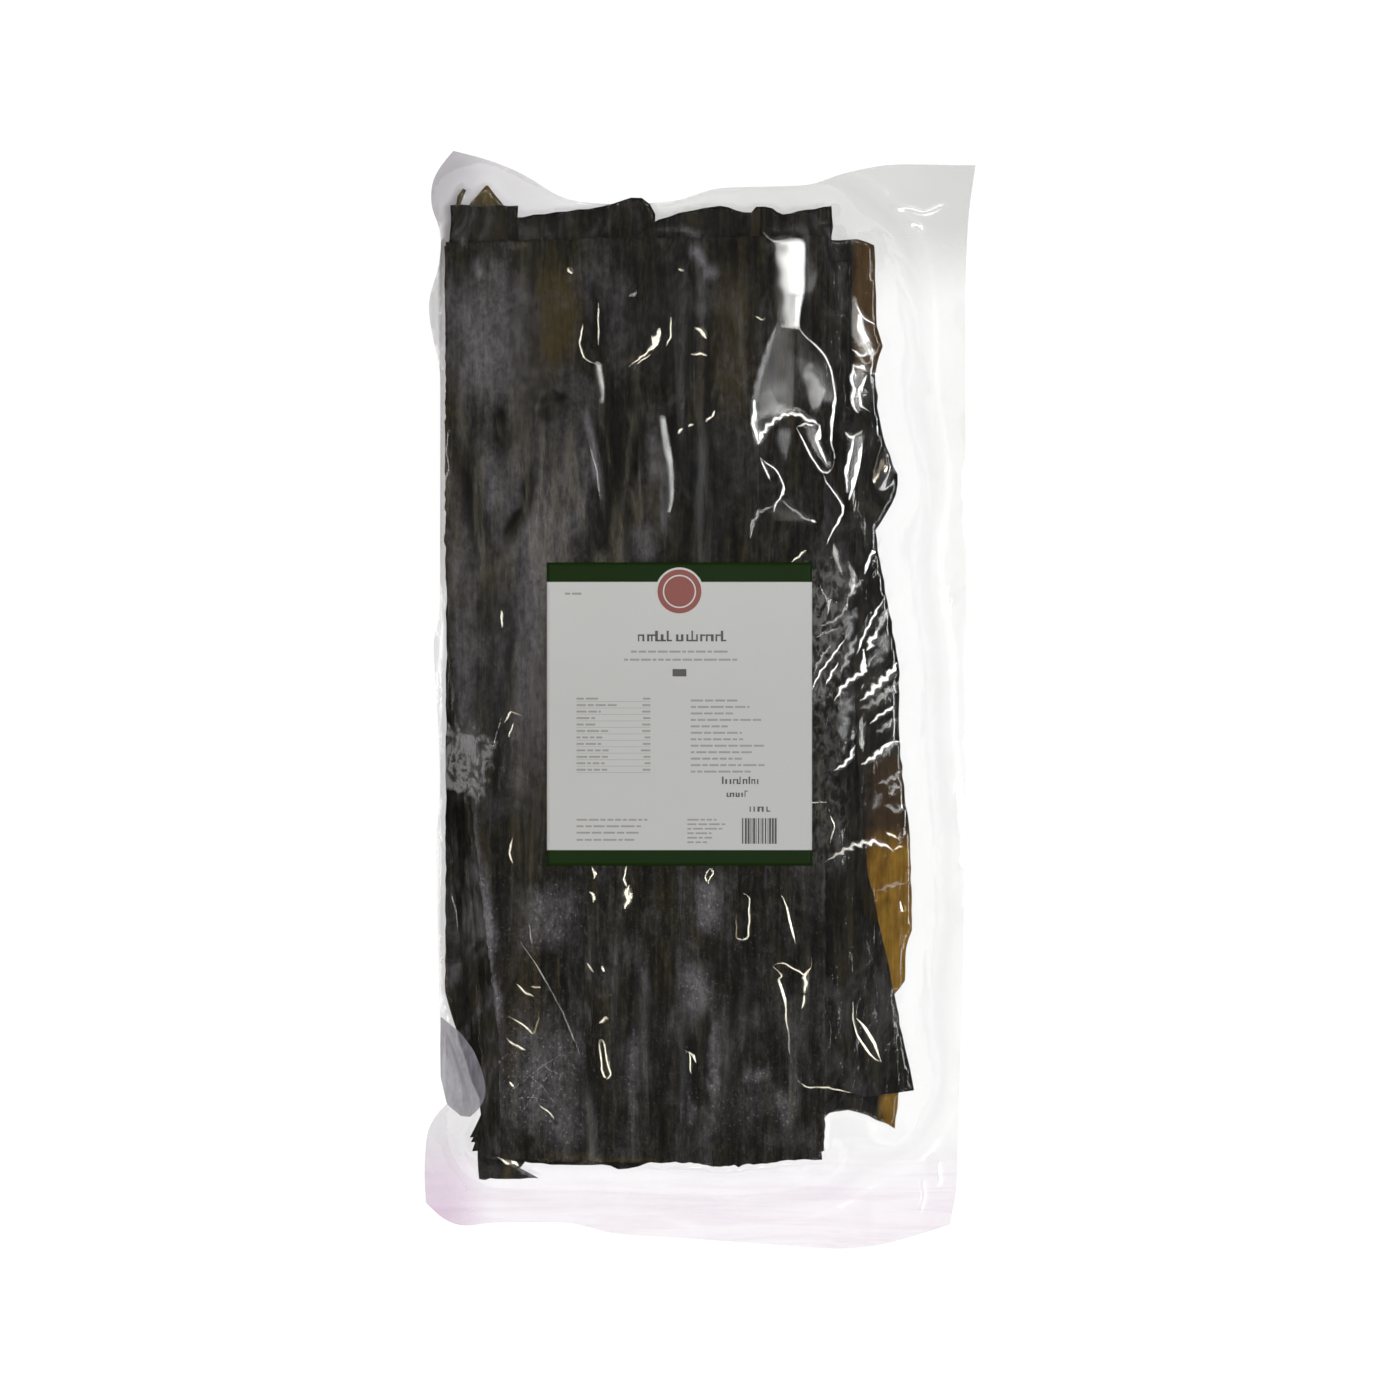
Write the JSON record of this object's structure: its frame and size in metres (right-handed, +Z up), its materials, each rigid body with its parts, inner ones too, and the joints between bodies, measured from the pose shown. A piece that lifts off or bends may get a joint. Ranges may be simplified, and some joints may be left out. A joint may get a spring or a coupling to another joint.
{
  "type": "clear bag of dried kelp sheets",
  "caption": "Sealed clear film bag holding a flat stack of long dried kelp sheets, with a plain rectangular paper label on its upper face, lying flat.",
  "frame": {"origin": "middle of the bag's underside, on the table", "axes": "+Z up out of the labelled face, +Y along the bag to its top end, +X across it to the heat-sealed edge"},
  "size_m": [0.2406, 0.4794, 0.0282],
  "materials": {
    "kelp": "dried seaweed sheets, dark olive brown with a pale bloom, seen through clear film",
    "film": "clear glossy bag film, wrinkled",
    "label": "satin paper, pale grey with two dark green bands and plain grey print bars"
  },
  "bodies": {
    "root": {"bag": "kelp", "label": "label"}
  },
  "joints": []
}
